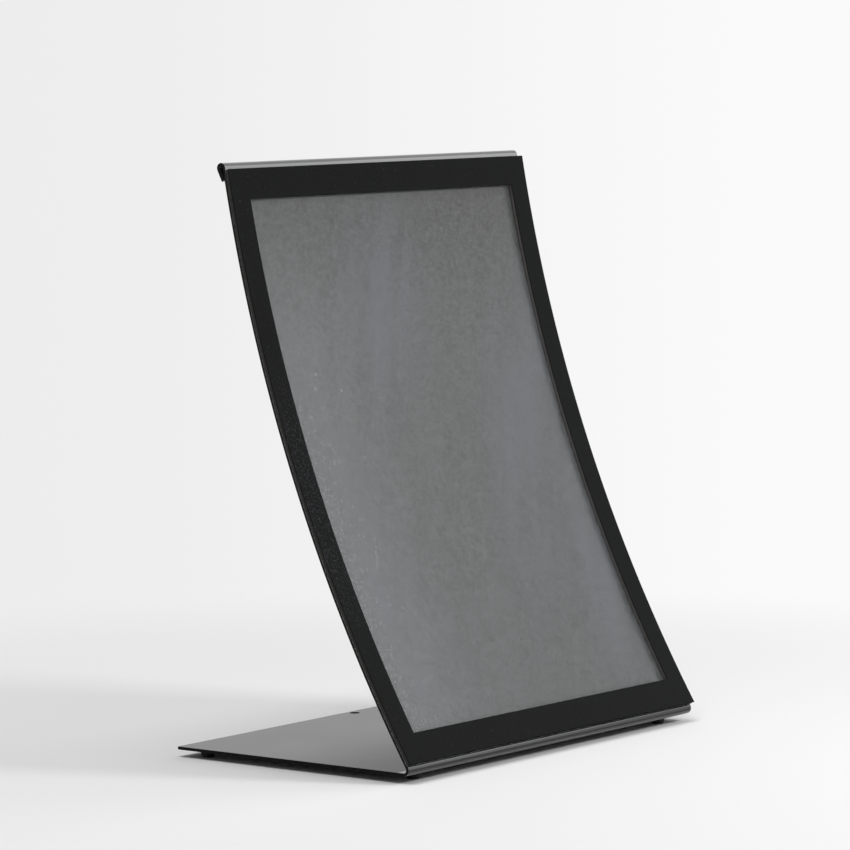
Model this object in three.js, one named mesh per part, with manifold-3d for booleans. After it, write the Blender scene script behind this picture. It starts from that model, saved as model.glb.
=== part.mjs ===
// A curved tabletop sign holder: one bent steel sheet with a magnetic cover on its front.
// Millimetres, +Z up, +Y towards the back. The origin is on the table, under the middle of the
// object's box, and the cover faces -Y.

import * as THREE from "three";
import { mergeVertices } from "three/addons/utils/BufferGeometryUtils.js";
import Module from "manifold-3d";

// The cover, measured across its width and along its curve
const COVER_WIDTH = 228.6;
const COVER_HEIGHT = 292.1;
const SIDE_BORDER = 12.7;
const TOP_BORDER = 14.6;
const BOTTOM_BORDER = 14.6;
const BORDER_THICKNESS = 0.35;
const FILM_THICKNESS = 0.3;
const MAGNET_THICKNESS = 1.5;
const MAGNET_INSET = 0.3;
const STRIP_JOINT_GAP = 0.3;
const GLUE_LINE = 0.05;
const PRINT_GAP = 0.2;

// The bent sheet
const STEEL_THICKNESS = 1.5;
const COVER_OVERHANG = 0.8;
const PANEL_RADIUS = 762;
const PANEL_LEAN_AT_BEND = 58;
const BEND_INNER_RADIUS = 1.5;
const BASE_DEPTH = 139.7;
const COVER_ABOVE_BEND = 0.2;
const HEM_ABOVE_COVER = 1.1;
const HEM_INNER_RADIUS = 1.0;
const HEM_CLOSING_ANGLE = 16.5;
const HEM_TIP_GAP = 0.3;
const HANG_HOLE_DIAMETER = 5;
const HANG_HOLE_TO_REAR = 4.4;
const HANG_HOLE_FROM_MIDDLE = 15;

// The bumpers under the base
const FOOT_DIAMETER = 7;
const FOOT_BOTTOM_DIAMETER = 6.2;
const FOOT_EDGE_RADIUS = 0.6;
const FOOT_HEIGHT = 3.15;
const TAPE_THICKNESS = 0.25;
const TAPE_INSET = 0.3;
const FRONT_FOOT_FROM_SIDE = 15.5;
const FRONT_FOOT_FROM_BEND = 9.5;
const REAR_FOOT_FROM_SIDE = 8;
const REAR_FOOT_FROM_EDGE = 12;

// How finely curves are cut into flats
const PANEL_FLAT_LENGTH = 6;
const BEND_STEPS = 14;
const HEM_STEPS = 20;
const ROUND_STEPS = 32;
const EDGE_STEPS = 4;

const wasm = await Module();
wasm.setup();

const radians = THREE.MathUtils.degToRad;
const QUARTER_TURN = Math.PI / 2;

// Profiles are drawn in the side view, where the first number is Y and the second is Z.
const point = (y, z) => new THREE.Vector2(y, z);
const direction = (angle) => point(Math.cos(angle), Math.sin(angle));

function arc(centre, radius, from, to, steps) {
  const turn = (i) => from + ((to - from) * i) / steps;
  return Array.from({ length: steps + 1 }, (_, i) =>
    direction(turn(i)).multiplyScalar(radius).add(centre),
  );
}

// The bend joins the flat base to the curved back.
const steelWidth = COVER_WIDTH - 2 * COVER_OVERHANG;
const baseBottom = FOOT_HEIGHT + TAPE_THICKNESS;
const baseTop = baseBottom + STEEL_THICKNESS;
const bendOuterRadius = BEND_INNER_RADIUS + STEEL_THICKNESS;
const leanAtBend = radians(PANEL_LEAN_AT_BEND);

// Layers of the cover, as depths in front of the steel's front face
const filmBack = PRINT_GAP;
const filmFront = filmBack + FILM_THICKNESS;
const magnetBack = filmFront + GLUE_LINE;
const magnetFront = magnetBack + MAGNET_THICKNESS;
const borderBack = magnetFront + GLUE_LINE;
const borderFront = borderBack + BORDER_THICKNESS;

// Leans of the curved back, from the horizontal, at the edges that matter
const leanAlong = (length) => length / PANEL_RADIUS;
const coverBottom = leanAtBend + leanAlong(COVER_ABOVE_BEND);
const coverTop = coverBottom + leanAlong(COVER_HEIGHT);
const windowBottom = coverBottom + leanAlong(BOTTOM_BORDER);
const windowTop = coverTop - leanAlong(TOP_BORDER);
const leanAtHem = coverTop + leanAlong(HEM_ABOVE_COVER);

// The bend or the cover's lower front edge stands furthest forward, and the base reaches furthest
// back. Half of the difference puts the origin under the middle.
const panelCentreReach = (PANEL_RADIUS + bendOuterRadius) * Math.sin(leanAtBend);
const coverReach = panelCentreReach - (PANEL_RADIUS - borderFront) * Math.sin(coverBottom);
const frontReach = Math.max(bendOuterRadius, coverReach);
const rearReach = BASE_DEPTH - bendOuterRadius;
const bendCentre = point((frontReach - rearReach) / 2, baseTop + BEND_INNER_RADIUS);
const bendFront = bendCentre.x - bendOuterRadius;
const baseRear = bendCentre.x + rearReach;

// The centre of the curved back lies in front of it, square to the sheet where the bend ends.
const panelCentre = direction(leanAtBend + QUARTER_TURN)
  .multiplyScalar(bendOuterRadius + PANEL_RADIUS)
  .add(bendCentre);

// A line of points on the curved back, at a depth in front of the steel's front face
function panelLine(depth, fromLean, toLean) {
  const radius = PANEL_RADIUS - depth;
  const steps = Math.ceil(((toLean - fromLean) * PANEL_RADIUS) / PANEL_FLAT_LENGTH);
  return arc(panelCentre, radius, fromLean - QUARTER_TURN, toLean - QUARTER_TURN, steps);
}

// The hem rolls backwards from the top of the back until its tip nearly meets the back again.
function hemLines() {
  const outerRadius = HEM_INNER_RADIUS + STEEL_THICKNESS;
  const closing = radians(HEM_CLOSING_ANGLE);
  const start = leanAtHem + QUARTER_TURN;
  const end = start - Math.PI - closing;
  const centre = direction(start)
    .multiplyScalar(-PANEL_RADIUS - outerRadius)
    .add(panelCentre);
  const gapToClose = HEM_INNER_RADIUS * (1 + Math.cos(closing)) - HEM_TIP_GAP;
  const leg = direction(end - QUARTER_TURN).multiplyScalar(gapToClose / Math.sin(closing));
  const side = (radius) => {
    const line = arc(centre, radius, start, end, HEM_STEPS);
    const tip = line[line.length - 1].clone().add(leg);
    return [...line.slice(1), tip];
  };
  return { outer: side(outerRadius), inner: side(HEM_INNER_RADIUS) };
}

function sheetOutline() {
  const hem = hemLines();
  const under = radians(270);
  const bendEnd = leanAtBend + QUARTER_TURN;
  return [
    point(baseRear, baseTop),
    point(baseRear, baseBottom),
    ...arc(bendCentre, bendOuterRadius, under, bendEnd, BEND_STEPS),
    ...panelLine(0, leanAtBend, leanAtHem).slice(1),
    ...hem.outer,
    ...hem.inner.reverse(),
    ...panelLine(-STEEL_THICKNESS, leanAtBend, leanAtHem).reverse(),
    ...arc(bendCentre, BEND_INNER_RADIUS, bendEnd, under, BEND_STEPS).slice(1),
  ];
}

// Stretches a side-view outline across the object from one X to another.
function acrossX(outline, fromX, toX) {
  const sideViewToPart = new THREE.Matrix4().makeBasis(
    new THREE.Vector3(0, 1, 0),
    new THREE.Vector3(0, 0, 1),
    new THREE.Vector3(1, 0, 0),
  );
  const settings = { depth: toX - fromX, bevelEnabled: false };
  return new THREE.ExtrudeGeometry(new THREE.Shape(outline), settings)
    .applyMatrix4(sideViewToPart)
    .translate(fromX, 0, 0);
}

// A curved slab that follows the back, between two depths, two leans and two X places
function curvedSlab(backDepth, frontDepth, fromLean, toLean, fromX, toX) {
  const front = panelLine(frontDepth, fromLean, toLean);
  const back = panelLine(backDepth, fromLean, toLean);
  return acrossX([...front, ...back.reverse()], fromX, toX);
}

function solidOf(geometry) {
  const bare = geometry.clone().deleteAttribute("normal").deleteAttribute("uv");
  const merged = mergeVertices(bare);
  return new wasm.Manifold(
    new wasm.Mesh({
      numProp: 3,
      vertProperties: merged.attributes.position.array,
      triVerts: new Uint32Array(merged.index.array),
    }),
  );
}

function cut(geometry, cutter) {
  const mesh = solidOf(geometry).subtract(solidOf(cutter)).getMesh();
  const result = new THREE.BufferGeometry();
  result.setAttribute("position", new THREE.BufferAttribute(mesh.vertProperties, 3));
  result.setIndex(new THREE.BufferAttribute(mesh.triVerts, 1));
  result.computeVertexNormals();
  return result;
}

// Finishes
const finish = (color, roughness, metalness) =>
  new THREE.MeshStandardMaterial({ color, roughness, metalness });
const powderCoat = finish(0x2c2d2e, 0.42, 0.35);
const blackVinyl = finish(0x111213, 0.55, 0);
const matteFilm = finish(0xc9cccc, 0.6, 0);
matteFilm.transparent = true;
matteFilm.opacity = 0.45;
const magnetRubber = finish(0x2f2c27, 0.85, 0);
const footRubber = finish(0x17181a, 0.8, 0);
const tapeFoam = finish(0x3a3b3c, 0.9, 0);

const holder = new THREE.Group();

function addPiece(group, name, geometry, material) {
  const mesh = new THREE.Mesh(geometry, material);
  mesh.name = name;
  group.add(mesh);
  return mesh;
}

// The stand: the bent sheet with its hang hole
function steelStand() {
  const radius = HANG_HOLE_DIAMETER / 2;
  const drillLength = 2 * STEEL_THICKNESS;
  const drill = new THREE.CylinderGeometry(radius, radius, drillLength, ROUND_STEPS)
    .rotateX(QUARTER_TURN)
    .translate(HANG_HOLE_FROM_MIDDLE, baseRear - HANG_HOLE_TO_REAR, baseTop - STEEL_THICKNESS / 2);
  return cut(acrossX(sheetOutline(), -steelWidth / 2, steelWidth / 2), drill);
}
addPiece(holder, "steel_stand", steelStand(), powderCoat);

// The cover: a black frame, magnet strips behind it, and the window film behind the strips
const cover = new THREE.Group();
holder.add(cover);
const coverSide = COVER_WIDTH / 2;
const windowSide = coverSide - SIDE_BORDER;

function borderFrame() {
  const whole = curvedSlab(borderBack, borderFront, coverBottom, coverTop, -coverSide, coverSide);
  const window = curvedSlab(
    borderBack - BORDER_THICKNESS,
    borderFront + BORDER_THICKNESS,
    windowBottom,
    windowTop,
    -windowSide,
    windowSide,
  );
  return cut(whole, window);
}
addPiece(cover, "cover_border", borderFrame(), blackVinyl);

const film = curvedSlab(filmBack, filmFront, coverBottom, coverTop, -coverSide, coverSide);
addPiece(cover, "cover_window", film, matteFilm);

// A strip lies under its own side of the border, a little in from the border's edges.
function addMagnetStrip(place, fromLean, toLean, fromX, toX) {
  const strip = curvedSlab(magnetBack, magnetFront, fromLean, toLean, fromX, toX);
  addPiece(cover, `magnet_strip_${place}`, strip, magnetRubber);
}
const inset = leanAlong(MAGNET_INSET);
const jointGap = leanAlong(STRIP_JOINT_GAP);
const stripSide = coverSide - MAGNET_INSET;
const stripInside = windowSide + MAGNET_INSET;
const topStripLow = windowTop + inset;
const bottomStripHigh = windowBottom - inset;
addMagnetStrip("top", topStripLow, coverTop - inset, -stripSide, stripSide);
addMagnetStrip("bottom", coverBottom + inset, bottomStripHigh, -stripSide, stripSide);
addMagnetStrip("left", bottomStripHigh + jointGap, topStripLow - jointGap, -stripSide, -stripInside);
addMagnetStrip("right", bottomStripHigh + jointGap, topStripLow - jointGap, stripInside, stripSide);

// A bumper stands flat on the table, with a rounded lower edge and sides that widen upwards.
function footProfile() {
  const edgeCentre = point(FOOT_BOTTOM_DIAMETER / 2 - FOOT_EDGE_RADIUS, FOOT_EDGE_RADIUS);
  return [
    point(0, 0),
    ...arc(edgeCentre, FOOT_EDGE_RADIUS, -QUARTER_TURN, 0, EDGE_STEPS),
    point(FOOT_DIAMETER / 2, FOOT_HEIGHT),
    point(0, FOOT_HEIGHT),
  ];
}

function addFoot(place, x, y) {
  const foot = new THREE.Group();
  foot.position.set(x, y, 0);
  holder.add(foot);
  const rubber = new THREE.LatheGeometry(footProfile(), ROUND_STEPS).rotateX(QUARTER_TURN);
  addPiece(foot, `foot_${place}`, rubber, footRubber);
  const radius = FOOT_DIAMETER / 2 - TAPE_INSET;
  const disc = new THREE.CylinderGeometry(radius, radius, TAPE_THICKNESS, ROUND_STEPS)
    .rotateX(QUARTER_TURN)
    .translate(0, 0, FOOT_HEIGHT + TAPE_THICKNESS / 2);
  addPiece(foot, `foot_tape_${place}`, disc, tapeFoam);
}

function addFootRow(row, fromSide, y) {
  const x = steelWidth / 2 - fromSide;
  addFoot(`${row}_left`, -x, y);
  addFoot(`${row}_right`, x, y);
}
addFootRow("front", FRONT_FOOT_FROM_SIDE, bendFront + FRONT_FOOT_FROM_BEND);
addFootRow("rear", REAR_FOOT_FROM_SIDE, baseRear - REAR_FOOT_FROM_EDGE);

export default holder;
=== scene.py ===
# %% [markdown]
# # A curved tabletop sign holder
#
# The object is one sheet of powder-coated steel, bent into a base, a curved back and a rolled top
# edge. A thin cover clings to its front with magnet strips: a black border round a matte window.
# Small rubber bumpers carry the base. This lesson dresses the packed solids piece by piece, each
# in its place and at its size, because one millimetre here is one millimetre in the solids.

# %% The packed model
import math

import bmesh
import bpy
from mathutils import Matrix, Vector


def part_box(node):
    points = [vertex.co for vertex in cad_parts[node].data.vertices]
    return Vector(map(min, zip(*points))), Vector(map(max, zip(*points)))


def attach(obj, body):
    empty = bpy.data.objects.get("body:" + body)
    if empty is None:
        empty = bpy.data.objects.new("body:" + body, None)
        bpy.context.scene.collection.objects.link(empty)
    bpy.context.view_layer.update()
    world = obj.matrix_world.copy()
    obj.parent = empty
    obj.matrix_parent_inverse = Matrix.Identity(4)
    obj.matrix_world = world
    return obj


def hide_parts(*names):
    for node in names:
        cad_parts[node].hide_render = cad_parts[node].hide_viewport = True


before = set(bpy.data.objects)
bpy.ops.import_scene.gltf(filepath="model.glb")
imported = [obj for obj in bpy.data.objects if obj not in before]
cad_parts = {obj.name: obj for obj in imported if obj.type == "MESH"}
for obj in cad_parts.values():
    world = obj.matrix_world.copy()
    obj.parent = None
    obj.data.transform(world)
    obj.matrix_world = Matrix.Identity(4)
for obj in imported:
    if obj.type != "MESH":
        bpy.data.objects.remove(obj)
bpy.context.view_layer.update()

print("solids:", sorted(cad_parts))

# %% [markdown]
# ## Sums for finishes
#
# A finish is a tree of shader nodes, and joining Math nodes by hand hides what they work out. One
# small class wraps a socket, so that an ordinary sum such as `1 - mask` adds the node it needs.
# Every other node comes from one method, which sets the node up before it fills its sockets.


# %% A socket that takes part in sums
class Wire:
    """A value on its way through the nodes of a finish."""

    def __init__(self, nodes, socket):
        self.nodes = nodes
        self.socket = socket

    def math(self, operation, first, second):
        return self.nodes.add("ShaderNodeMath", {"operation": operation}, {0: first, 1: second})

    def __add__(self, other):
        return self.math("ADD", self, other)

    def __radd__(self, other):
        return self.math("ADD", other, self)

    def __sub__(self, other):
        return self.math("SUBTRACT", self, other)

    def __rsub__(self, other):
        return self.math("SUBTRACT", other, self)

    def __mul__(self, other):
        return self.math("MULTIPLY", self, other)

    def __rmul__(self, other):
        return self.math("MULTIPLY", other, self)

    def __truediv__(self, other):
        return self.math("DIVIDE", self, other)

    def __rtruediv__(self, other):
        return self.math("DIVIDE", other, self)

    def at_least(self, other):
        return self.math("MAXIMUM", self, other)


print("a socket can be added, taken away, multiplied and divided")


# %% One method for every node
class Nodes:
    """The nodes of one finish, in a material or in the world."""

    def __init__(self, tree):
        self.tree = tree
        tree.nodes.clear()

    def add(self, kind, settings, sockets, out=0):
        made = self.tree.nodes.new(kind)
        for name, value in settings.items():
            setattr(made, name, value)
        for name, value in sockets.items():
            if isinstance(value, Wire):
                self.tree.links.new(value.socket, made.inputs[name])
            else:
                made.inputs[name].default_value = value
        return Wire(self, made.outputs[out]) if made.outputs else made

    def place(self, stretch=(1, 1, 1)):
        """Where a point lies on its own piece, in metres, drawn out along any axis."""
        here = self.add("ShaderNodeTexCoord", {}, {}, "Object")
        return self.add("ShaderNodeVectorMath", {"operation": "MULTIPLY"}, {0: here, 1: stretch})

    def grain(self, size, detail=2.0, stretch=(1, 1, 1)):
        """Soft random patches, each about as large as the size, from 0 to 1."""
        sockets = {"Vector": self.place(stretch), "Scale": 1 / size, "Detail": detail}
        return self.add("ShaderNodeTexNoise", {}, sockets)

    def rise(self, value, low, high, to_low=0.0, to_high=1.0):
        """A smooth step from one level to another while a value goes from low to high."""
        settings = {"interpolation_type": "SMOOTHSTEP"}
        sockets = {"Value": value, "From Min": low, "From Max": high}
        sockets.update({"To Min": to_low, "To Max": to_high})
        return self.add("ShaderNodeMapRange", settings, sockets)

    def tint(self, share, first, second):
        """One colour passing into another."""
        settings = {"data_type": "RGBA"}
        return self.add("ShaderNodeMix", settings, {0: share, 6: first, 7: second}, 2)

    def bump(self, height, depth, strength=1.0):
        sockets = {"Strength": strength, "Distance": depth, "Height": height}
        return self.add("ShaderNodeBump", {}, sockets)

    def surface(self, **sockets):
        named = {name.replace("_", " "): value for name, value in sockets.items()}
        return self.add("ShaderNodeBsdfPrincipled", {}, named)

    def mix(self, share, first, second):
        """One surface passing into another."""
        return self.add("ShaderNodeMixShader", {}, {0: share, 1: first, 2: second})

    def output(self, surface):
        self.add("ShaderNodeOutputMaterial", {}, {"Surface": surface})


def new_finish(name):
    material = bpy.data.materials.new(name)
    material.use_nodes = True
    return material, Nodes(material.node_tree)


def grey(level, warmth=0.0):
    """A plain grey, a little warmer or cooler, with full cover."""
    return (level * (1 + warmth), level, level * (1 - warmth), 1.0)


print("helpers of a finish:", [name for name in vars(Nodes) if not name.startswith("_")])

# %% [markdown]
# ## Where a point lies and which way it faces
#
# Marks, wear and glare belong to places. A place could be painted on a map of the surface, but a map
# has to be unfolded for every piece. A distance from a line, or a reach along an axis, needs no map,
# and holds for every piece in the same frame.

# %% Places and facings
TO_LEFT = (-1, 0, 0)
TO_FRONT = (0, -1, 0)
UPWARDS = (0, 0, 1)
IN_SIDE_VIEW = (0, 1, 1)
MM = 0.001


def length_of(n, vector):
    return n.add("ShaderNodeVectorMath", {"operation": "LENGTH"}, {0: vector}, "Value")


def part_along(n, vector, way):
    """How far a vector reaches along a way."""
    return n.add("ShaderNodeVectorMath", {"operation": "DOT_PRODUCT"}, {0: vector, 1: way}, "Value")


def reach(n, way):
    """How far a point lies along a way, in metres."""
    return part_along(n, n.place(), way)


def facing(n):
    return n.add("ShaderNodeTexCoord", {}, {}, "Normal")


def sideways(n):
    """A mask of what faces the left or the right."""
    across = part_along(n, facing(n), (1, 0, 0))
    return across * across


def from_line(n, centre):
    """The way to a point from a line across the holder, given by its place in the side view."""
    shift = (0, -centre.x * MM, -centre.y * MM)
    sockets = {0: n.place(), 1: IN_SIDE_VIEW, 2: shift}
    return n.add("ShaderNodeVectorMath", {"operation": "MULTIPLY_ADD"}, sockets)


print("ways:", TO_LEFT, TO_FRONT, UPWARDS)

# %% [markdown]
# ## Sizes
#
# The looks have to land on the solids, so the sizes are the solids' own, in millimetres. Where a
# piece sits comes from the packed boxes, and the curve of the back from its radius and its lean.

# %% Sizes of the bent sheet and the cover
STEEL_THICKNESS = 1.5
PANEL_RADIUS = 762.0
LEAN_AT_BEND = math.radians(58)
BEND_INNER_RADIUS = 1.5
COVER_ABOVE_BEND = 0.2
COVER_HEIGHT = 292.1
SIDE_BORDER = 12.7
END_BORDER = 14.6
HEM_ABOVE_COVER = 1.1
HEM_INNER_RADIUS = 1.0
HEM_CLOSING = math.radians(16.5)
HEM_TIP_GAP = 0.3
HOLE_RADIUS = 2.5
HOLE_TO_REAR = 4.4
HOLE_FROM_MIDDLE = 15.0

QUARTER = math.pi / 2
steel_low, steel_high = (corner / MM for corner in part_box("steel_stand"))
bend_outer_radius = BEND_INNER_RADIUS + STEEL_THICKNESS
bend_centre = Vector((steel_low.y + bend_outer_radius, steel_low.z + bend_outer_radius))
cover_bottom = LEAN_AT_BEND + COVER_ABOVE_BEND / PANEL_RADIUS
cover_top = cover_bottom + COVER_HEIGHT / PANEL_RADIUS
lean_at_hem = cover_top + HEM_ABOVE_COVER / PANEL_RADIUS
print("sheet in millimetres:", steel_low, steel_high)


# %% Points in the side view
def heading(angle):
    return Vector((math.cos(angle), math.sin(angle)))


def steps_between(start, end, count):
    return [start + (end - start) * i / count for i in range(count + 1)]


panel_centre = bend_centre + heading(LEAN_AT_BEND + QUARTER) * (bend_outer_radius + PANEL_RADIUS)


def on_back(lean, depth):
    """A point of the side view that lies in front of the curved back's front face."""
    return panel_centre + heading(lean - QUARTER) * (PANEL_RADIUS - depth)


hem_outer_radius = HEM_INNER_RADIUS + STEEL_THICKNESS
hem_centre = on_back(lean_at_hem, -hem_outer_radius)
print("middle of the back's curve:", panel_centre, "and of the hem:", hem_centre)

# %% [markdown]
# ## The camera
#
# The photograph was taken with a long lens from the holder's front left, a little above the table.
# The place and the angles were found by matching the solids' edges to the photograph's. A long lens
# from far away keeps the sides nearly parallel, which a wide lens near by would not.

# %% The camera
CAMERA_PLACE = Vector((-1.66107, -1.29171, 0.33803))
CAMERA_YAW = math.radians(51.9584)
CAMERA_PITCH = math.radians(5.0246)
CAMERA_ROLL = math.radians(-0.6259)
LENS_MM = 185.163
SENSOR_MM = 36.0

forward = Vector((
    math.sin(CAMERA_YAW) * math.cos(CAMERA_PITCH),
    math.cos(CAMERA_YAW) * math.cos(CAMERA_PITCH),
    -math.sin(CAMERA_PITCH),
))
level_right = Vector((math.cos(CAMERA_YAW), -math.sin(CAMERA_YAW), 0))
level_up = level_right.cross(forward)
right = level_right * math.cos(CAMERA_ROLL) + level_up * math.sin(CAMERA_ROLL)
up = level_up * math.cos(CAMERA_ROLL) - level_right * math.sin(CAMERA_ROLL)

camera = bpy.data.objects.new("camera", bpy.data.cameras.new("camera"))
bpy.context.scene.collection.objects.link(camera)
turned_to_view = Matrix((right, up, -forward)).transposed().to_4x4()
camera.matrix_world = Matrix.Translation(CAMERA_PLACE) @ turned_to_view
camera.data.lens = LENS_MM
camera.data.sensor_fit = "HORIZONTAL"
camera.data.sensor_width = SENSOR_MM
bpy.context.scene.camera = camera
bpy.context.scene.view_settings.view_transform = "Standard"
print("camera to the middle of the table spot:", CAMERA_PLACE.length, "m")

# %% [markdown]
# ## Making and placing a piece
#
# Every piece goes through the same last steps: its mesh becomes an object, rounded edges are shaded
# by the large faces beside them, the piece hangs from an empty named for the body that carries it,
# the solid it stands for is hidden, and it gets its finish. Weighted normals keep a flat face flat
# right up to its rounded edge.

# %% From a mesh to a piece
SHARP_FROM = math.radians(40)
SAME_SPOT = 1e-7


def shade(piece):
    piece.data.shade_smooth()
    piece.data.set_sharp_from_angle(angle=SHARP_FROM)
    weighted = piece.modifiers.new("flat faces stay flat", "WEIGHTED_NORMAL")
    weighted.keep_sharp = True


def add_piece(name, shape, node, body, finish):
    bmesh.ops.remove_doubles(shape, verts=shape.verts, dist=SAME_SPOT)
    bmesh.ops.recalc_face_normals(shape, faces=shape.faces)
    mesh = bpy.data.meshes.new(name)
    shape.to_mesh(mesh)
    shape.free()
    mesh.materials.append(finish)
    piece = bpy.data.objects.new(name, mesh)
    bpy.context.scene.collection.objects.link(piece)
    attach(piece, body)
    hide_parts(node)
    print(name, "stands for", node, "with", len(mesh.polygons), "faces")
    return piece


print("edges stay sharp from", math.degrees(SHARP_FROM), "degrees")

# %% [markdown]
# ## Powder coat
#
# The sheet is coated with black powder that is melted on in an oven. Up close it is not smooth: the
# melt leaves shallow dimples, like an orange's skin, and a fine speckle. The dimples are a bump,
# because they are far too shallow to change the outline, and a little unevenness goes into the
# roughness, where it breaks up long reflections. The coat is not the same everywhere: it lies smooth
# over the fold, where the press has left a dull line, and two paler bands beside that line are
# painted reflections of the room, the upper one painted paler towards the left. It runs thick and
# glossy round the hem, and it is duller on the base near the fold, where hands and cloths rub it.
# The sheet's cut edges at both sides are dark and matte. Each of these places is found from its
# distance to a line, or from the way its face looks.

# %% Places on the coat
FOLD_FADE = (0.1, 1.5)
HEM_FADE = (0.1, 1.0)
# The fold's two bands of painted reflection and its dull line, as angles below level with near and
# far fades.
PAINTED_HIGH_REFLECTION = (math.radians(-16), 0.3, 1.0)
PRESS_LINE = (math.radians(9), 0.1, 0.8)
PAINTED_LOW_REFLECTION = (math.radians(55), 0.4, 1.7)
RUBBED_TO_FRONT = (-0.03, 0.06)
RUBBED_BELOW = (0.006, 0.009)


def near_line(n, centre, near, far):
    """A mask round a line across the holder, full as far as near and gone at far."""
    return n.rise(length_of(n, from_line(n, centre)), near * MM, far * MM, 1.0, 0.0)


def round_roll(n, centre, radius, fade):
    """A mask of the steel that is rolled round a line."""
    return near_line(n, centre, radius + fade[0], radius + fade[1])


def along_fold(n, below_level, near, far):
    """A mask of a line along the fold, by how far its face looks below level."""
    line = bend_centre + heading(math.pi + below_level) * bend_outer_radius
    return near_line(n, line, near, far)


def rubbed(n):
    """Where hands and cloths rub the base."""
    low = n.rise(reach(n, UPWARDS), *RUBBED_BELOW, 1.0, 0.0)
    return n.rise(reach(n, TO_FRONT), *RUBBED_TO_FRONT) * low


print("the dull line on the fold is", math.degrees(PRESS_LINE[0]), "degrees below level")

# %% The powder coat
DIMPLE_SIZE = 0.0016
SPECKLE_SIZE = 0.0005
DRIFT_SIZE = 0.06
COAT_UNEVENNESS = 0.00006
SPECKLE_SPAN = (0.35, 0.75)
OPEN_GREYS = (grey(0.017, -0.01), grey(0.03, -0.02))
PRESSED_GREYS = (grey(0.014, -0.01), grey(0.024, -0.02))
CUT_GREYS = (grey(0.004), grey(0.01))
# The grey of the fold's painted reflections, and the reach over which painted light grows towards
# the left.
PAINTED_REFLECTION_GREY = grey(0.11)
PAINTED_LIGHT_RIGHT_TO_LEFT = (-0.1, 0.1)
EDGE_FADE = (0.25, 0.7)


def open_coat(n, speckle, drift, bump):
    """The coat on the base, the back and the hem."""
    hem = round_roll(n, hem_centre, hem_outer_radius, HEM_FADE)
    return n.surface(
        Base_Color=n.tint(n.rise(speckle, *SPECKLE_SPAN), *OPEN_GREYS),
        Roughness=0.26 + 0.05 * drift + 0.05 * speckle + 0.14 * rubbed(n),
        IOR=1.8,
        Specular_IOR_Level=0.6,
        Coat_Weight=0.8 * hem,
        Coat_Roughness=0.12,
        Coat_IOR=1.6,
        Normal=bump,
    )


def pressed_coat(n, speckle, drift, bump):
    """The coat over the fold, with its dull line and its two bands of painted reflection."""
    colour = n.tint(n.rise(speckle, *SPECKLE_SPAN), *PRESSED_GREYS)
    # Painted reflections: two paler bands in the fold's colour, the upper one painted paler towards
    # the left.
    painted_light_to_left = n.rise(reach(n, TO_LEFT), *PAINTED_LIGHT_RIGHT_TO_LEFT)
    painted_high_reflection = 0.7 * painted_light_to_left * along_fold(n, *PAINTED_HIGH_REFLECTION)
    painted_low_reflection = along_fold(n, *PAINTED_LOW_REFLECTION)
    glossy = n.surface(
        Base_Color=n.tint(painted_high_reflection + painted_low_reflection, colour, PAINTED_REFLECTION_GREY),
        Roughness=0.1 + 0.04 * drift + 0.04 * speckle,
        IOR=1.6,
        Normal=bump,
    )
    dull = n.surface(
        Base_Color=colour,
        Roughness=0.5 + 0.1 * speckle,
        Specular_IOR_Level=0.12,
        Normal=bump,
    )
    return n.mix(0.75 * along_fold(n, *PRESS_LINE), glossy, dull)


def cut_coat(n, speckle, bump):
    """The coat on the sheet's cut edges."""
    return n.surface(
        Base_Color=n.tint(speckle, *CUT_GREYS),
        Roughness=0.6 + 0.15 * speckle,
        Specular_IOR_Level=0.12,
        Normal=bump,
    )


def powder_coat():
    finish, n = new_finish("powder coat")
    dimples = n.grain(DIMPLE_SIZE, 1.0)
    speckle = n.grain(SPECKLE_SIZE, 1.0)
    drift = n.grain(DRIFT_SIZE, 2.0)
    bump = n.bump(dimples * 0.6 + speckle * 0.4, COAT_UNEVENNESS, 0.12)
    fold = round_roll(n, bend_centre, bend_outer_radius, FOLD_FADE)
    faces = n.mix(fold, open_coat(n, speckle, drift, bump), pressed_coat(n, speckle, drift, bump))
    on_edge = n.rise(sideways(n), *EDGE_FADE)
    n.output(n.mix(on_edge, faces, cut_coat(n, speckle, bump)))
    return finish


steel_finish = powder_coat()
print("made", steel_finish.name)

# %% [markdown]
# ## The bent sheet
#
# On the real holder a flat blank is sheared, drilled, folded at the front, rolled to its curve and
# hemmed at the top. A solid of the same kind could be pushed out of a flat outline, but then its cut
# edges would be razor sharp. Here the sheet is a line through the middle of the steel, with a
# direction that points out of its outer side. The cut edge follows from the line, and pulling it
# inwards step by step at both ends rounds the edges as the coat does.

# %% The line through the middle of the steel
EDGE_ROUND = 0.15
BEND_STEPS = 24
BACK_STEPS = 96
HEM_STEPS = 36
half_steel = STEEL_THICKNESS / 2


def base_and_bend():
    rear = Vector((steel_high.y - EDGE_ROUND, steel_low.z + half_steel))
    line = [(rear, heading(-QUARTER))]
    radius = bend_outer_radius - half_steel
    for angle in steps_between(3 * QUARTER, LEAN_AT_BEND + QUARTER, BEND_STEPS):
        line.append((bend_centre + heading(angle) * radius, heading(angle)))
    return line


def curved_back():
    leans = steps_between(LEAN_AT_BEND, lean_at_hem, BACK_STEPS)[1:]
    return [(on_back(lean, -half_steel), heading(lean + QUARTER)) for lean in leans]


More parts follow.
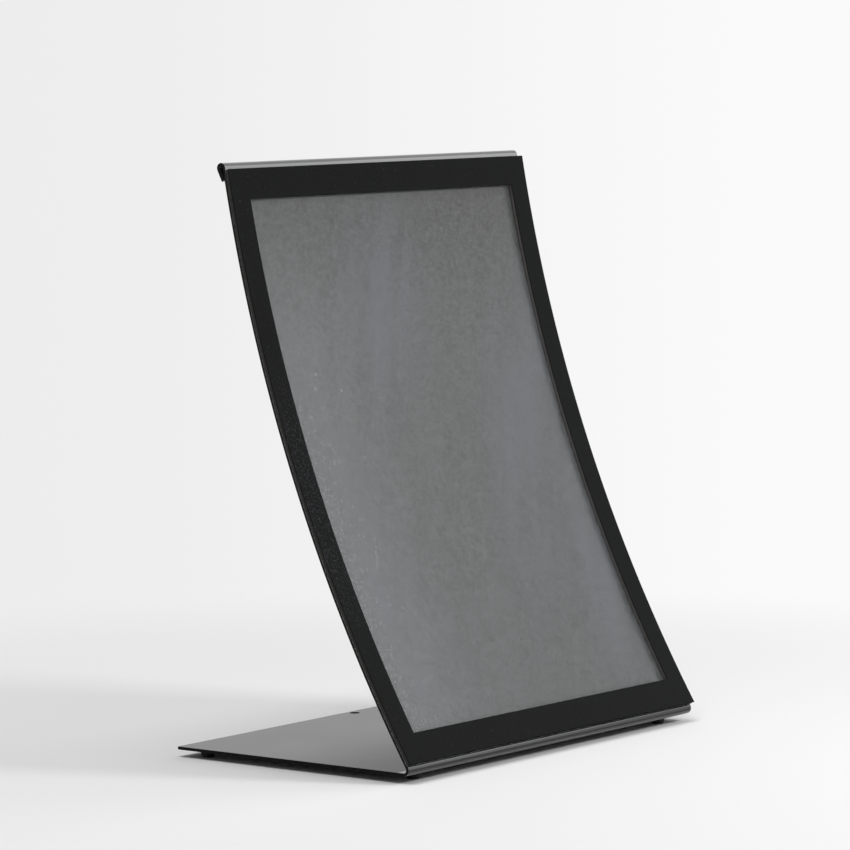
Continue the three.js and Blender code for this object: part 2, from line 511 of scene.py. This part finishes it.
def rolled_hem():
    start = lean_at_hem + QUARTER
    end = start - math.pi - HEM_CLOSING
    radius = hem_outer_radius - half_steel
    angles = steps_between(start, end, HEM_STEPS)
    turn = [(hem_centre + heading(a) * radius, heading(a)) for a in angles]
    closing = HEM_INNER_RADIUS * (1 + math.cos(HEM_CLOSING)) - HEM_TIP_GAP
    leg = closing / math.sin(HEM_CLOSING) - EDGE_ROUND
    last, out = turn[-1]
    return turn[1:] + [(last + heading(end - QUARTER) * leg, out)]


steel_line = base_and_bend() + curved_back() + rolled_hem()
print("the steel's line has", len(steel_line), "points")

# %% The cut edge of a sheet
EDGE_STEPS = 5


def turn_between(first, second):
    """Directions from one to another that is square to it, as a rounded edge has them."""
    turns = steps_between(0, QUARTER, EDGE_STEPS)
    return [first * math.cos(a) + second * math.sin(a) for a in turns]


def cut_edge(line):
    """Middles of the rounding all round the sheet's cut edge, with the way out of the steel."""
    inside = half_steel - EDGE_ROUND
    outer = [(p + out * inside, out) for p, out in line]
    inner = [(p - out * inside, -out) for p, out in line]
    first_end = (line[0][0] - line[1][0]).normalized()
    last_end = (line[-1][0] - line[-2][0]).normalized()
    tip = [(outer[-1][0], d) for d in turn_between(outer[-1][1], last_end)[1:]]
    tip += [(inner[-1][0], d) for d in turn_between(last_end, inner[-1][1])[:-1]]
    rear = [(inner[0][0], d) for d in turn_between(inner[0][1], first_end)[1:]]
    rear += [(outer[0][0], d) for d in turn_between(first_end, outer[0][1])[:-1]]
    return outer + tip + inner[::-1] + rear


print("points round the cut edge:", len(cut_edge(steel_line)))


# %% The sheet across its cut edges
def bent_sheet(line, low_x, high_x):
    shape = bmesh.new()
    edge = cut_edge(line)
    turns = steps_between(0, QUARTER, EDGE_STEPS)
    sides = [(low_x + EDGE_ROUND * (1 - math.sin(a)), math.cos(a)) for a in turns[::-1]]
    sides += [(high_x - EDGE_ROUND * (1 - math.sin(a)), math.cos(a)) for a in turns]
    rings = []
    for x, fullness in sides:
        spots = [p + out * (EDGE_ROUND * fullness) for p, out in edge]
        rings.append([shape.verts.new((x * MM, y * MM, z * MM)) for y, z in spots])
    for near, far in zip(rings, rings[1:]):
        for i in range(len(edge)):
            shape.faces.new((near[i - 1], near[i], far[i], far[i - 1]))
    # Short faces from the outer side across to the inner side close both ends.
    inner_first = 2 * len(line) + 2 * EDGE_STEPS - 1
    for ring in (rings[0], rings[-1]):
        for i in range(len(line) - 1):
            j = inner_first - i
            shape.faces.new((ring[i], ring[i + 1], ring[j - 1], ring[j]))
    return shape


stand = add_piece(
    "bent_steel_sheet",
    bent_sheet(steel_line, steel_low.x, steel_high.x),
    "steel_stand",
    "stand",
    steel_finish,
)

# %% [markdown]
# ## The hole by the rear edge
#
# A small hole near the base's rear edge lets the sheet hang while it is coated. It is cut with a
# turned cutter whose ends flare, so that the hole's rims come out rounded like every other edge of
# the coated steel. Cutting keeps the sheet simple: a hole drawn into the sheet's own faces would
# need a fan of faces round it.

# %% A turned shape
TURNED_SIDES = 48


def turned(profile, middle):
    """A closed solid turned round an upright axis, from radii and heights on its profile."""
    shape = bmesh.new()
    rings = []
    for radius, height in profile:
        ring = []
        for i in range(TURNED_SIDES):
            spot = heading(2 * math.pi * i / TURNED_SIDES) * radius
            corner = Vector((middle.x + spot.x, middle.y + spot.y, height))
            ring.append(shape.verts.new(corner * MM))
        rings.append(ring)
    for low, high in zip(rings, rings[1:]):
        for i in range(TURNED_SIDES):
            shape.faces.new((low[i - 1], low[i], high[i], high[i - 1]))
    shape.faces.new(rings[0])
    shape.faces.new(rings[-1])
    return shape


print("a turned shape has", TURNED_SIDES, "sides")

# %% Cutting the hole
CUTTER_OVERLAP = 1.0


def hole_cutter():
    bottom, top = steel_low.z, steel_low.z + STEEL_THICKNESS
    low_rim = []
    for a in steps_between(0, QUARTER, EDGE_STEPS):
        flare, rise = EDGE_ROUND * (1 - math.sin(a)), EDGE_ROUND * (1 - math.cos(a))
        low_rim.append((HOLE_RADIUS + flare, bottom + rise))
    high_rim = [(radius, bottom + top - height) for radius, height in low_rim[::-1]]
    widest = HOLE_RADIUS + EDGE_ROUND
    profile = [(widest, bottom - CUTTER_OVERLAP)] + low_rim
    profile += high_rim + [(widest, top + CUTTER_OVERLAP)]
    return turned(profile, Vector((HOLE_FROM_MIDDLE, steel_high.y - HOLE_TO_REAR)))


def cut_with(piece, shape):
    bmesh.ops.recalc_face_normals(shape, faces=shape.faces)
    mesh = bpy.data.meshes.new("cutter")
    shape.to_mesh(mesh)
    shape.free()
    cutter = bpy.data.objects.new("cutter", mesh)
    bpy.context.scene.collection.objects.link(cutter)
    cut = piece.modifiers.new("hole", "BOOLEAN")
    cut.operation = "DIFFERENCE"
    cut.solver = "EXACT"
    cut.object = cutter
    graph = bpy.context.evaluated_depsgraph_get()
    result = bpy.data.meshes.new_from_object(piece.evaluated_get(graph))
    piece.modifiers.remove(cut)
    piece.data = result
    bpy.data.objects.remove(cutter)
    bpy.data.meshes.remove(mesh)


cut_with(stand, hole_cutter())
shade(stand)
print("the sheet with its hole has", len(stand.data.polygons), "faces")

# %% [markdown]
# ## The cover's layers
#
# The cover is a sandwich that follows the back's curve: black border, magnet strips, window film.
# All of them are slabs between two depths in front of the steel, so one helper makes them from a
# grid over the curved back. A cell of the grid can be left open, which makes the border's window.
# A narrow bevel takes the sharpness off the cut edges.

# %% A slab on the curved back
SLAB_ROUND = 0.08
SLAB_STEP = 3.0
BEVEL_FROM = math.radians(50)


def leans_between(low, high):
    return steps_between(low, high, max(2, round((high - low) * PANEL_RADIUS / SLAB_STEP)))


def slab_on_back(xs, leans, back, front, is_open=lambda x, lean: False):
    shape = bmesh.new()
    sides = []
    for depth in (back, front):
        spots = [[(x, *on_back(lean, depth)) for x in xs] for lean in leans]
        sides.append([[shape.verts.new(Vector(s) * MM) for s in row] for row in spots])
    low, high = sides

    def solid(row, column):
        if not (0 <= row < len(leans) - 1 and 0 <= column < len(xs) - 1):
            return False
        middle_x = (xs[column] + xs[column + 1]) / 2
        middle_lean = (leans[row] + leans[row + 1]) / 2
        return not is_open(middle_x, middle_lean)

    for r in range(len(leans) - 1):
        for c in range(len(xs) - 1):
            if not solid(r, c):
                continue
            corners = [(r, c), (r, c + 1), (r + 1, c + 1), (r + 1, c)]
            for side in sides:
                shape.faces.new([side[i][j] for i, j in corners])
            beside = [(r - 1, c), (r, c + 1), (r + 1, c), (r, c - 1)]
            for k, (i, j) in enumerate(beside):
                if not solid(i, j):
                    (a, b), (d, e) = corners[k], corners[(k + 1) % 4]
                    shape.faces.new((low[a][b], low[d][e], high[d][e], high[a][b]))
    return shape


def soften(piece):
    bevel = piece.modifiers.new("soft cut edges", "BEVEL")
    bevel.width = SLAB_ROUND * MM
    bevel.segments = 2
    bevel.limit_method = "ANGLE"
    bevel.angle_limit = BEVEL_FROM
    shade(piece)


print("slabs follow the back between leans", math.degrees(cover_bottom), math.degrees(cover_top))

# %% [markdown]
# ## The black border
#
# The border is a frame of thin black vinyl on the front of the cover. It is nearly matte, with a
# fine cast grain that catches a little light, and it gathers a few specks of dust along its length.
# Half way up on the left, pale glints are painted into the grain's colour as a painted highlight.
# A flat black would look like a hole in the picture, so the grain goes into the colour, the bump
# and the roughness. The border's cut edges mirror nothing, so that the joints round the cover stay
# dark.

# %% The border's finish
VINYL_GRAIN = 0.0007
VINYL_PATCHES = 0.03
VINYL_UNEVENNESS = 0.00008
SPECK_SIZE = 0.0011
# Size, height and reach of the painted glints on the left border.
PAINTED_GLINT_SIZE = 0.001
PAINTED_GLINT_FROM = (0.05, 0.1)
PAINTED_GLINT_UP_TO = (0.15, 0.2)
PAINTED_GLINT_ON_LEFT = (0.1, 0.103)
PAINTED_GLINT_SPAN = (0.48, 0.75)
GRAIN_SPAN = (0.5, 0.75)
RARE_PEAKS = (0.78, 0.84)
WALL_FADE = (0.2, 0.6)
VINYL_BLACK = (0.0028, 0.0032, 0.0031, 1.0)
VINYL_DUST_AND_GLINT = (0.055, 0.059, 0.067, 1.0)
WALL_GREYS = (grey(0.002), grey(0.005))


def on_cut_wall(n):
    """Where a layer of the cover shows its cut edge, square to the back's curve."""
    settings = {"operation": "NORMALIZE"}
    outwards = n.add("ShaderNodeVectorMath", settings, {0: from_line(n, panel_centre)})
    level = part_along(n, facing(n), outwards)
    return n.rise(level * level, *WALL_FADE, 1.0, 0.0)


def painted_glints(n):
    """Painted glints: pale grain painted half way up on the left, as a painted highlight."""
    height = reach(n, UPWARDS)
    lit = n.rise(height, *PAINTED_GLINT_FROM) * n.rise(height, *PAINTED_GLINT_UP_TO, 1.0, 0.0)
    on_left = n.rise(reach(n, TO_LEFT), *PAINTED_GLINT_ON_LEFT)
    return lit * on_left * n.rise(n.grain(PAINTED_GLINT_SIZE, 3.0), *PAINTED_GLINT_SPAN)


def black_vinyl():
    finish, n = new_finish("black vinyl")
    grain = n.grain(VINYL_GRAIN, 2.0)
    patches = n.grain(VINYL_PATCHES, 3.0)
    dust = n.rise(n.grain(SPECK_SIZE, 0.0), *RARE_PEAKS)
    # Pale dust, pale grain and the painted glints on the left, all in the colour.
    pale = 0.25 * dust + 0.09 * n.rise(grain, *GRAIN_SPAN) + 0.5 * painted_glints(n)
    face = n.surface(
        Base_Color=n.tint(pale, VINYL_BLACK, VINYL_DUST_AND_GLINT),
        Roughness=0.42 + 0.1 * grain + 0.06 * patches,
        Specular_IOR_Level=0.045,
        Normal=n.bump(grain, VINYL_UNEVENNESS, 0.4),
    )
    wall = n.surface(
        Base_Color=n.tint(grain, *WALL_GREYS),
        Roughness=0.8 + 0.1 * grain,
        Specular_IOR_Level=0.0,
    )
    n.output(n.mix(on_cut_wall(n), face, wall))
    return finish


border_finish = black_vinyl()
print("made", border_finish.name)

# %% The border
BORDER_BACK = 2.10
BORDER_FRONT = 2.45
cover_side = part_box("cover_border")[1].x / MM
window_side = cover_side - SIDE_BORDER
window_bottom = cover_bottom + END_BORDER / PANEL_RADIUS
window_top = cover_top - END_BORDER / PANEL_RADIUS


def in_window(x, lean):
    return abs(x) < window_side and window_bottom < lean < window_top


border_leans = leans_between(cover_bottom, window_bottom)[:-1]
border_leans += leans_between(window_bottom, window_top)
border_leans += leans_between(window_top, cover_top)[1:]
border = add_piece(
    "black_border",
    slab_on_back(
        [-cover_side, -window_side, window_side, cover_side],
        border_leans,
        BORDER_BACK,
        BORDER_FRONT,
        in_window,
    ),
    "cover_border",
    "cover",
    border_finish,
)
soften(border)

# %% [markdown]
# ## The matte window
#
# The window is clear plastic film with a frosted front that stops glare. Over the dark steel it
# reads as an even grey: part of the light scatters back from the frosting, and the rest passes
# through to the steel. Real refraction through a rough sheet is slow and noisy, so here the frosting
# is a grey layer that covers half of the surface, and the steel shows through the rest. Only the
# front is frosted, and a point belongs to the front by how far it lies in front of the steel. The
# frosting's grey carries painted light: it is painted lighter towards the left, lighter still low
# down on the left as a painted glare, and darker towards the top as painted shade. Fine grain, cool
# smears that lean as a wiping hand leaves them, a few scratches and specks of dust keep the grey
# alive.

# %% Marks on the window
WIPE_LEAN = math.radians(24)
WIPES = (
    (WIPE_LEAN, (0.066, 0.143), (0.03, 0.08)),
    (WIPE_LEAN / 2, (0.085, 0.07), (0.02, 0.06)),
    (WIPE_LEAN, (-0.02, 0.21), (0.03, 0.05)),
    (0.0, (-0.082, 0.06), (0.004, 0.05)),
)
STREAK_SIZE = (0.012, 0.08)
SCRATCH_SIZE = (0.0012, 0.04)
SMEAR_FADE = 1.5


def leaning(n, lean, middle, half_size):
    """Places on the sheet from the middle of a mark, in half sizes across and along its lean."""
    sockets = {
        "Vector": n.place((1, 0, 1)),
        "Location": (middle[0], 0, middle[1]),
        "Rotation": (0, lean, 0),
        "Scale": (half_size[0], 1, half_size[1]),
    }
    return n.add("ShaderNodeMapping", {"vector_type": "TEXTURE"}, sockets)


def wiped(n, half_size, detail):
    """Soft streaks all over the sheet, leaning as a wiping hand leaves them."""
    vector = leaning(n, WIPE_LEAN, (0, 0), half_size)
    return n.add("ShaderNodeTexNoise", {}, {"Vector": vector, "Scale": 1.0, "Detail": detail})


def smear(n, lean, middle, half_size):
    """One soft mark, strongest in its middle."""
    away = length_of(n, leaning(n, lean, middle, half_size))
    return n.rise(away, 0.0, SMEAR_FADE, 1.0, 0.0)


print("the window has", len(WIPES), "smears")

# %% The window's finish
FILM_BACK = 0.2
FILM_FRONT = 0.5
FRONT_FADE = 0.1
HAZE = 0.5
BACK_HAZE = 0.04
FROST_SIZE = 0.0018
MOTTLE_SIZE = 0.004
FILM_DUST_SIZE = 0.0016
RAREST_PEAKS = (0.82, 0.86)
# Where the painted glare lies on the left, and where painted shade darkens the top.
PAINTED_GLARE_ON_LEFT = (0.02, 0.1)
PAINTED_GLARE_UP_TO = (0.15, 0.27)
PAINTED_SHADE_AT_TOP = (0.2, 0.27)
FROST_SPAN = (0.3, 0.7)
STREAK_SPAN = (0.2, 0.7)
FROST_DARK = (0.054, 0.053, 0.048, 1.0)
FROST_LIGHT = (0.424, 0.443, 0.456, 1.0)
SMEAR_BLUE = (0.215, 0.24, 0.28, 1.0)


def film_front(n):
    """A mask of the film's front, by how far a point lies in front of the curved steel."""
    depth = PANEL_RADIUS * MM - length_of(n, from_line(n, panel_centre))
    return n.rise(depth, (FILM_BACK + FRONT_FADE) * MM, (FILM_FRONT - FRONT_FADE) * MM)


def film_marks_and_painted_light(n, wipes):
    """Smears, scratches and dust that lighten the frosting, a painted glare low on the left, and
    painted shade towards the top.
    """
    height = reach(n, UPWARDS)
    painted_glare_low_down = n.rise(height, *PAINTED_GLARE_UP_TO, 1.0, 0.0)
    glare = n.rise(reach(n, TO_LEFT), *PAINTED_GLARE_ON_LEFT) * painted_glare_low_down
    scratches = n.rise(wiped(n, SCRATCH_SIZE, 0.0), *RARE_PEAKS)
    dust = n.rise(n.grain(FILM_DUST_SIZE, 0.0), *RAREST_PEAKS)
    # The glare is painted light, and the fall towards the top is painted shade.
    lighter = 0.12 * wipes + 0.4 * glare + 0.3 * scratches + 0.4 * dust
    return lighter - n.rise(height, *PAINTED_SHADE_AT_TOP, 0.0, 0.2)


def film_texture(n, frost, streaks):
    """Grain all over the frosting, as much lighter as darker."""
    mottle = n.grain(MOTTLE_SIZE, 2.0)
    fine = 0.42 * (n.rise(frost, *FROST_SPAN) - 0.5)
    return fine + 0.5 * (mottle - 0.5) + 0.25 * (streaks - 0.5)


def matte_film():
    finish, n = new_finish("matte film")
    frost = n.grain(FROST_SIZE, 4.0)
    streaks = wiped(n, STREAK_SIZE, 3.0)
    wipes = sum(smear(n, *wipe) for wipe in WIPES) * n.rise(streaks, *STREAK_SPAN)
    # Painted light: the frosting is painted lighter towards the left.
    level = n.rise(reach(n, TO_LEFT), *PAINTED_LIGHT_RIGHT_TO_LEFT, 0.12, 0.3)
    light = level + film_marks_and_painted_light(n, wipes) + film_texture(n, frost, streaks)
    frosting = n.tint(0.25 + 0.5 * light, FROST_DARK, FROST_LIGHT)
    front = film_front(n)
    surface = n.surface(
        Base_Color=n.tint(0.5 * wipes, frosting, SMEAR_BLUE),
        Roughness=0.5 + 0.1 * frost,
        Specular_IOR_Level=0.12,
        Alpha=front * HAZE + (1 - front) * BACK_HAZE,
    )
    n.output(surface)
    return finish


film_finish = matte_film()
print("made", film_finish.name)

# %% The window
film_leans = leans_between(cover_bottom, cover_top)
film = add_piece(
    "matte_window",
    slab_on_back([-cover_side, cover_side], film_leans, FILM_BACK, FILM_FRONT),
    "cover_window",
    "cover",
    film_finish,
)
soften(film)

# %% [markdown]
# ## The magnet strips
#
# Between the border and the film run four strips of flexible magnet, a dull rubber filled with metal
# powder. They show as a thin dull line at the cover's left edge, as a lit wall beside the window on
# the right, and as a dark slot along the fold. So the strips have three finishes of the same rubber:
# the left strip has a dusty dull grey, the right strip a paler grey that is painted light for its
# lit wall, and the top and bottom strips a near-black on their level walls that is painted shade for
# the slot, with the dusty grey at their ends. Extrusion leaves faint lines along the strips, so the
# grain is drawn out along their length.

# %% The magnet strips' finish
LINE_SIZE = 0.0006
POWDER_SIZE = 0.0004
STRIP_UNEVENNESS = 0.00008
UP_AND_DOWN = (1, 0.05, 0.05)
ACROSS = (0.05, 1, 1)
DUSTY = (0.035, 0.06)
# The paler pair is painted light for the right strip, and the near-black pair is painted shade.
PAINTED_LIGHT_GREYS = (0.12, 0.17)
PAINTED_SHADE_GREYS = (0.003, 0.007)


def magnet_strip(name, stretch, wall, end):
    """Magnet-filled rubber, with one pair of greys for level walls and one for upright ones."""
    finish, n = new_finish(name)
    lines = n.grain(LINE_SIZE, 1.0, stretch)
    powder = n.grain(POWDER_SIZE, 1.0)
    greys = [n.tint(powder, grey(dark, 0.04), grey(light, 0.05)) for dark, light in (wall, end)]
    surface = n.surface(
        Base_Color=n.tint(sideways(n), *greys),
        Roughness=0.7 + 0.15 * lines,
        Specular_IOR_Level=0.0,
        Normal=n.bump(lines * 0.6 + powder * 0.4, STRIP_UNEVENNESS, 0.5),
    )
    n.output(surface)
    return finish


# The right strip carries painted light on its wall, and the level strips carry painted shade on
# theirs.
left_strip = magnet_strip("left magnet strip", UP_AND_DOWN, DUSTY, DUSTY)
right_strip_painted_light = magnet_strip("right magnet strip", UP_AND_DOWN, PAINTED_LIGHT_GREYS, PAINTED_LIGHT_GREYS)
level_strip_painted_shade = magnet_strip("level magnet strip", ACROSS, PAINTED_SHADE_GREYS, DUSTY)
print("made", left_strip.name, right_strip_painted_light.name, "and", level_strip_painted_shade.name)

# %% The magnet strips
MAGNET_BACK = 0.55
MAGNET_FRONT = 2.05
MAGNET_INSET = 0.3
STRIP_JOINT_GAP = 0.3
inset = MAGNET_INSET / PANEL_RADIUS
joint_gap = STRIP_JOINT_GAP / PANEL_RADIUS
strip_side = cover_side - MAGNET_INSET
strip_inside = window_side + MAGNET_INSET
top_strip = (window_top + inset, cover_top - inset)
bottom_strip = (cover_bottom + inset, window_bottom - inset)
between = (bottom_strip[1] + joint_gap, top_strip[0] - joint_gap)
strips = {
    "top": ((-strip_side, strip_side), top_strip, level_strip_painted_shade),
    "bottom": ((-strip_side, strip_side), bottom_strip, level_strip_painted_shade),
    "left": ((-strip_side, -strip_inside), between, left_strip),
    "right": ((strip_inside, strip_side), between, right_strip_painted_light),
}
for place, (xs, (low, high), finish) in strips.items():
    strip = add_piece(
        f"magnet_{place}",
        slab_on_back(xs, leans_between(low, high), MAGNET_BACK, MAGNET_FRONT),
        f"magnet_strip_{place}",
        "cover",
        finish,
    )
    soften(strip)

# %% [markdown]
# ## The bumpers
#
# Small black rubber bumpers stick under the base with discs of foam tape. A bumper is moulded with a
# rounded lower edge and sides that widen upwards, so its profile is turned round an upright axis.
# The rubber is matte and picks up a little pale dust where it meets the table.

# %% The bumpers' finishes
RUBBER_GRAIN = 0.0005
RUBBER_UNEVENNESS = 0.00006
SCUFF_SIZE = 0.002
SCUFF_SPAN = (0.55, 0.75)
FOAM_CELL = 0.0003
FOAM_UNEVENNESS = 0.00008


def bumper_rubber():
    finish, n = new_finish("bumper rubber")
    grain = n.grain(RUBBER_GRAIN, 2.0)
    scuffs = n.rise(n.grain(SCUFF_SIZE, 3.0), *SCUFF_SPAN)
    surface = n.surface(
        Base_Color=n.tint(0.4 * scuffs, grey(0.008), grey(0.04)),
        Roughness=0.6 + 0.2 * grain,
        Normal=n.bump(grain, RUBBER_UNEVENNESS, 0.5),
    )
    n.output(surface)
    return finish


def foam_tape():
    finish, n = new_finish("foam tape")
    cells = n.grain(FOAM_CELL, 1.0)
    surface = n.surface(
        Base_Color=n.tint(cells, grey(0.03), grey(0.06)),
        Roughness=0.85 + 0.1 * cells,
        Normal=n.bump(cells, FOAM_UNEVENNESS, 0.6),
    )
    n.output(surface)
    return finish


rubber_finish = bumper_rubber()
tape_finish = foam_tape()
print("made", rubber_finish.name, "and", tape_finish.name)

# %% The bumpers and their tape
BUMPER_BOTTOM_RADIUS = 3.1
BUMPER_ROUND = 0.6
BUMPER_TOP_ROUND = 0.2
TAPE_ROUND = 0.08
BUMPER_STEPS = 8
TAPE_STEPS = 6


def bumper_profile(low, high):
    flat = BUMPER_BOTTOM_RADIUS - BUMPER_ROUND
    shoulder = (high.x - low.x) / 2 - BUMPER_TOP_ROUND
    lower, upper = [], []
    for a in steps_between(0, QUARTER, BUMPER_STEPS):
        out, up = math.sin(a), 1 - math.cos(a)
        lower.append((flat + BUMPER_ROUND * out, low.z + BUMPER_ROUND * up))
        out, down = math.cos(a), 1 - math.sin(a)
        upper.append((shoulder + BUMPER_TOP_ROUND * out, high.z - BUMPER_TOP_ROUND * down))
    return lower + upper


def tape_profile(low, high):
    rim = (high.x - low.x) / 2 - TAPE_ROUND
    middle = (low.z + high.z) / 2
    half = (high.z - low.z) / 2
    turns = steps_between(-QUARTER, QUARTER, TAPE_STEPS)
    return [(rim + TAPE_ROUND * math.cos(a), middle + half * math.sin(a)) for a in turns]


for place in ("front_left", "front_right", "rear_left", "rear_right"):
    for node, profile, slot, finish in (
        (f"foot_{place}", bumper_profile, "foot_rubber", rubber_finish),
        (f"foot_tape_{place}", tape_profile, "foot_tape", tape_finish),
    ):
        low, high = (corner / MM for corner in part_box(node))
        middle = (low + high) / 2
        name = node.replace("foot_tape", "tape_disc").replace("foot", "bumper")
        piece = add_piece(name, turned(profile(low, high), middle), node, "stand", finish)
        shade(piece)

# %% [markdown]
# ## The table and the light
#
# The photograph has a pale sweep with no horizon, a little brighter on the right. A wide floor does
# that: near the holder it is a white surface that takes shadows, and further out it passes into an
# even glow that meets the backdrop at the same level. Both grow brighter by how far a spot lies to
# the right as the camera sees it, which is the way to the right over the way ahead.

# %% The glow of the sweep
GLOW_LEFT = 0.845
GLOW_RIGHT = 0.955
GLOW_TURN = 0.1
NEAREST_AHEAD = 0.6
ahead_way = Vector((forward.x, forward.y, 0)).normalized()


def sweep_glow(n, to_right, ahead):
    turn = to_right / ahead.at_least(NEAREST_AHEAD)
    return n.tint(n.rise(turn, -GLOW_TURN, GLOW_TURN), grey(GLOW_LEFT), grey(GLOW_RIGHT))


print("the sweep glows from", GLOW_LEFT, "to", GLOW_RIGHT)

# %% The floor
FLOOR_REACH = 40.0
FLOOR_SIDES = 96
FLOOR_BELOW = 0.0001
FLOOR_WHITE = grey(0.9)
NEAR_FLOOR = 0.22
FAR_FLOOR = 0.6
floor_shape = bmesh.new()
bmesh.ops.create_circle(floor_shape, cap_ends=True, segments=FLOOR_SIDES, radius=FLOOR_REACH)
floor_mesh = bpy.data.meshes.new("floor")
floor_shape.to_mesh(floor_mesh)
floor_shape.free()
floor = bpy.data.objects.new("floor", floor_mesh)
floor.location.z = -FLOOR_BELOW
bpy.context.scene.collection.objects.link(floor)


def pale_floor():
    finish, n = new_finish("pale floor")
    to_right = reach(n, level_right) - CAMERA_PLACE.dot(level_right)
    ahead = reach(n, ahead_way) - CAMERA_PLACE.dot(ahead_way)
    near = n.add("ShaderNodeBsdfDiffuse", {}, {"Color": FLOOR_WHITE})
    far = n.add("ShaderNodeEmission", {}, {"Color": sweep_glow(n, to_right, ahead)})
    n.output(n.mix(n.rise(length_of(n, n.place()), NEAR_FLOOR, FAR_FLOOR), near, far))
    return finish


floor_mesh.materials.append(pale_floor())
print("floor reaches", FLOOR_REACH, "m")

# %% [markdown]
# ## The room
#
# Behind the holder, and round to its right, hangs the lit backdrop. The rest of the room is dim, and
# that matters as much as the lamps: a black border that mirrors a bright room turns grey, while the
# rolled hem and the flat base need the backdrop to shine. So the surroundings fade from the bright
# side to a dim grey at the near left, and to another overhead.

# %% The surroundings
DIM_SIDE = 0.2
OVERHEAD = 0.3
BRIGHT_TO_RIGHT = 0.6
BRIGHT_FADE = (0.3, 0.9)
OVERHEAD_FADE = (0.5, 0.9)
world = bpy.data.worlds.new("studio")
world.use_nodes = True
bpy.context.scene.world = world


def studio(n):
    look = n.add("ShaderNodeTexCoord", {}, {}, "Generated")
    ahead = part_along(n, look, ahead_way)
    backdrop = sweep_glow(n, part_along(n, look, level_right), ahead)
    bright = part_along(n, look, ahead_way + level_right * BRIGHT_TO_RIGHT)
    level = n.tint(n.rise(bright, *BRIGHT_FADE), grey(DIM_SIDE), backdrop)
    height = part_along(n, look, UPWARDS)
    sky = n.tint(n.rise(height, *OVERHEAD_FADE), level, grey(OVERHEAD))
    light = n.add("ShaderNodeBackground", {}, {"Color": sky, "Strength": 1.0})
    n.add("ShaderNodeOutputWorld", {}, {"Surface": light})


studio(Nodes(world.node_tree))
print("made the", world.name)

# %% [markdown]
# ## The lamps
#
# The floor's one clear shadow lies to the left, so the key light stands to the right, a little in
# front. A broad light overhead fills the shadow at the bend, and a wide one at the far right draws
# the lines along the hem and the fold, which mirror it. All are wide, because the photograph has no
# hard edge in any shadow.

# %% The lamps
AIM = Vector((0, 0, 0.1))


def soft_lamp(name, turn, rise, away, size, watts):
    """A wide lamp, placed by its angle from the camera's right and its angle above the table."""
    turn, rise = math.radians(turn), math.radians(rise)
    flat = level_right * math.cos(turn) + ahead_way * math.sin(turn)
    place = (flat * math.cos(rise) + Vector((0, 0, math.sin(rise)))) * away
    lamp = bpy.data.lights.new(name, "AREA")
    lamp.shape = "RECTANGLE"
    lamp.size, lamp.size_y = size
    lamp.energy = watts
    holder = bpy.data.objects.new(name, lamp)
    bpy.context.scene.collection.objects.link(holder)
    holder.location = place
    holder.rotation_euler = (AIM - place).to_track_quat("-Z", "Y").to_euler()


soft_lamp("key from the right", turn=-15, rise=38, away=1.2, size=(0.25, 0.25), watts=4.4)
soft_lamp("broad light overhead", turn=-140, rise=80, away=1.5, size=(0.9, 0.9), watts=10.4)
soft_lamp("far right", turn=32, rise=26, away=1.6, size=(1.2, 0.5), watts=2.7)

# %% [markdown]
